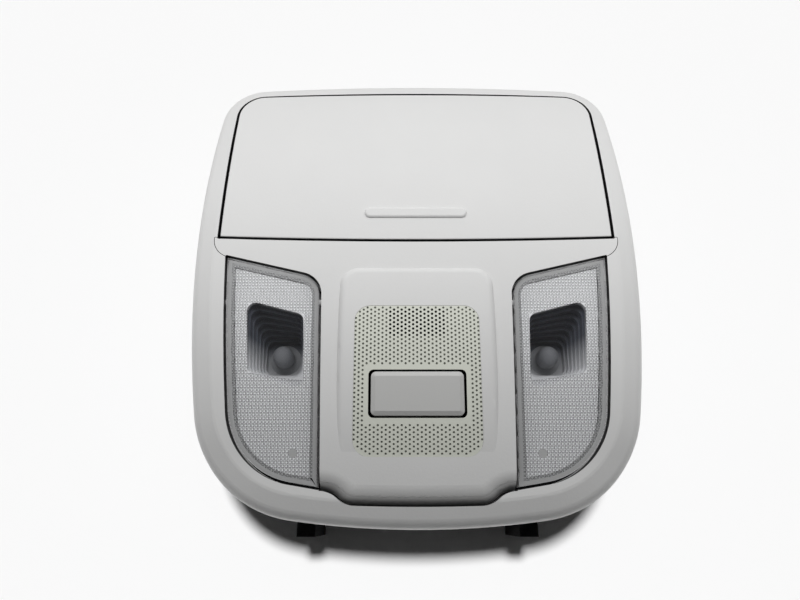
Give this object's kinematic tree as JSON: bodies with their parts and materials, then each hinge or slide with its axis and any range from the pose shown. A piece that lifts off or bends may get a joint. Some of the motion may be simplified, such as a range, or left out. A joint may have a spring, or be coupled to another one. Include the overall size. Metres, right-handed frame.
{
  "type": "car overhead console with dome lights",
  "caption": "Arched overhead console for a car roof, with push-on map lamp lenses, a dimpled microphone grille, a wide rocker switch and a damped glasses-tray lid.",
  "frame": {"origin": "centre of the bounding box's bottom, on the roof side of the console", "axes": "+Z out of the face (down in a car), +Y towards the lid end, +X to the right seen from the face"},
  "size_m": [0.21, 0.2286, 0.0618],
  "materials": {
    "face_plastic": "fine-grained light grey moulding",
    "plate_plastic": "dimpled beige-grey moulding",
    "rocker_plastic": "smooth mid grey moulding",
    "lens_plastic": "clear, moulded with fine prisms",
    "housing_plastic": "plain black moulding",
    "reflector_plastic": "metallised silver",
    "bulb_glass": "clear",
    "socket_plastic": "dark grey moulding",
    "board_laminate": "green solder mask",
    "soft_rubber": "black",
    "metal_can": "bare",
    "plug_plastic": "off-white moulding",
    "spring_steel": "bare",
    "tray_felt": "dark grey felt",
    "damper_plastic": "off-white moulding"
  },
  "bodies": {
    "console": {"outer_bezel": "face_plastic", "centre_panel": "face_plastic", "grille_plate": "plate_plastic", "rocker_case": "housing_plastic", "circuit_board": "board_laminate", "board_screws": "spring_steel", "microphone_boot": "soft_rubber", "microphone": "metal_can", "connector_header": "plug_plastic", "lamp_housing": "housing_plastic", "reflector_right": "reflector_plastic", "reflector_left": "reflector_plastic", "bulb_right": "bulb_glass", "bulb_left": "bulb_glass", "bulb_socket_right": "socket_plastic", "bulb_socket_left": "socket_plastic", "push_switch_right": "socket_plastic", "push_switch_left": "socket_plastic", "bin_housing": "housing_plastic", "housing_screws": "spring_steel", "hinge_pins": "spring_steel", "lid_spring": "spring_steel", "damper_body": "damper_plastic", "push_latch": "socket_plastic", "mounting_clips": "spring_steel"},
    "lid": {"lid_panel": "face_plastic", "lid_tray": "face_plastic", "tray_pad": "tray_felt"},
    "pinion": {"damper_pinion": "damper_plastic"},
    "rocker": {"rocker_button": "rocker_plastic"},
    "lens_left": {"lens_left": "lens_plastic"},
    "lens_right": {"lens_right": "lens_plastic"}
  },
  "joints": [
    {"name": "lid_hinge", "type": "hinge", "parent": "console", "child": "lid", "pos_m": [0, 0.088, 0.049], "axis": [-1, 0, 0], "range_deg": [0, 60]},
    {"name": "damper_spin", "type": "hinge", "parent": "console", "child": "pinion", "pos_m": [-0.0839, 0.07329, 0.0343], "axis": [-1, 0, 0], "range_deg": [-201, 1]},
    {"name": "rocker_tilt", "type": "hinge", "parent": "console", "child": "rocker", "pos_m": [0, -0.05654, 0.05402], "axis": [0, 0.9966, 0.082], "range_deg": [-6, 6]},
    {"name": "lens_left_press", "type": "hinge", "parent": "console", "child": "lens_left", "pos_m": [-0.065, -0.014, 0.05495], "axis": [1, 0, 0], "range_deg": [0, 1.2], "stiffness_Nm_per_rad": 3, "springref_deg": -1.15},
    {"name": "lens_right_press", "type": "hinge", "parent": "console", "child": "lens_right", "pos_m": [0.065, -0.014, 0.05495], "axis": [1, 0, 0], "range_deg": [0, 1.2], "stiffness_Nm_per_rad": 3, "springref_deg": -1.15}
  ],
  "couplings": [
    {"joint": "damper_spin", "follows": "lid_hinge", "ratio": -3.3333}
  ]
}
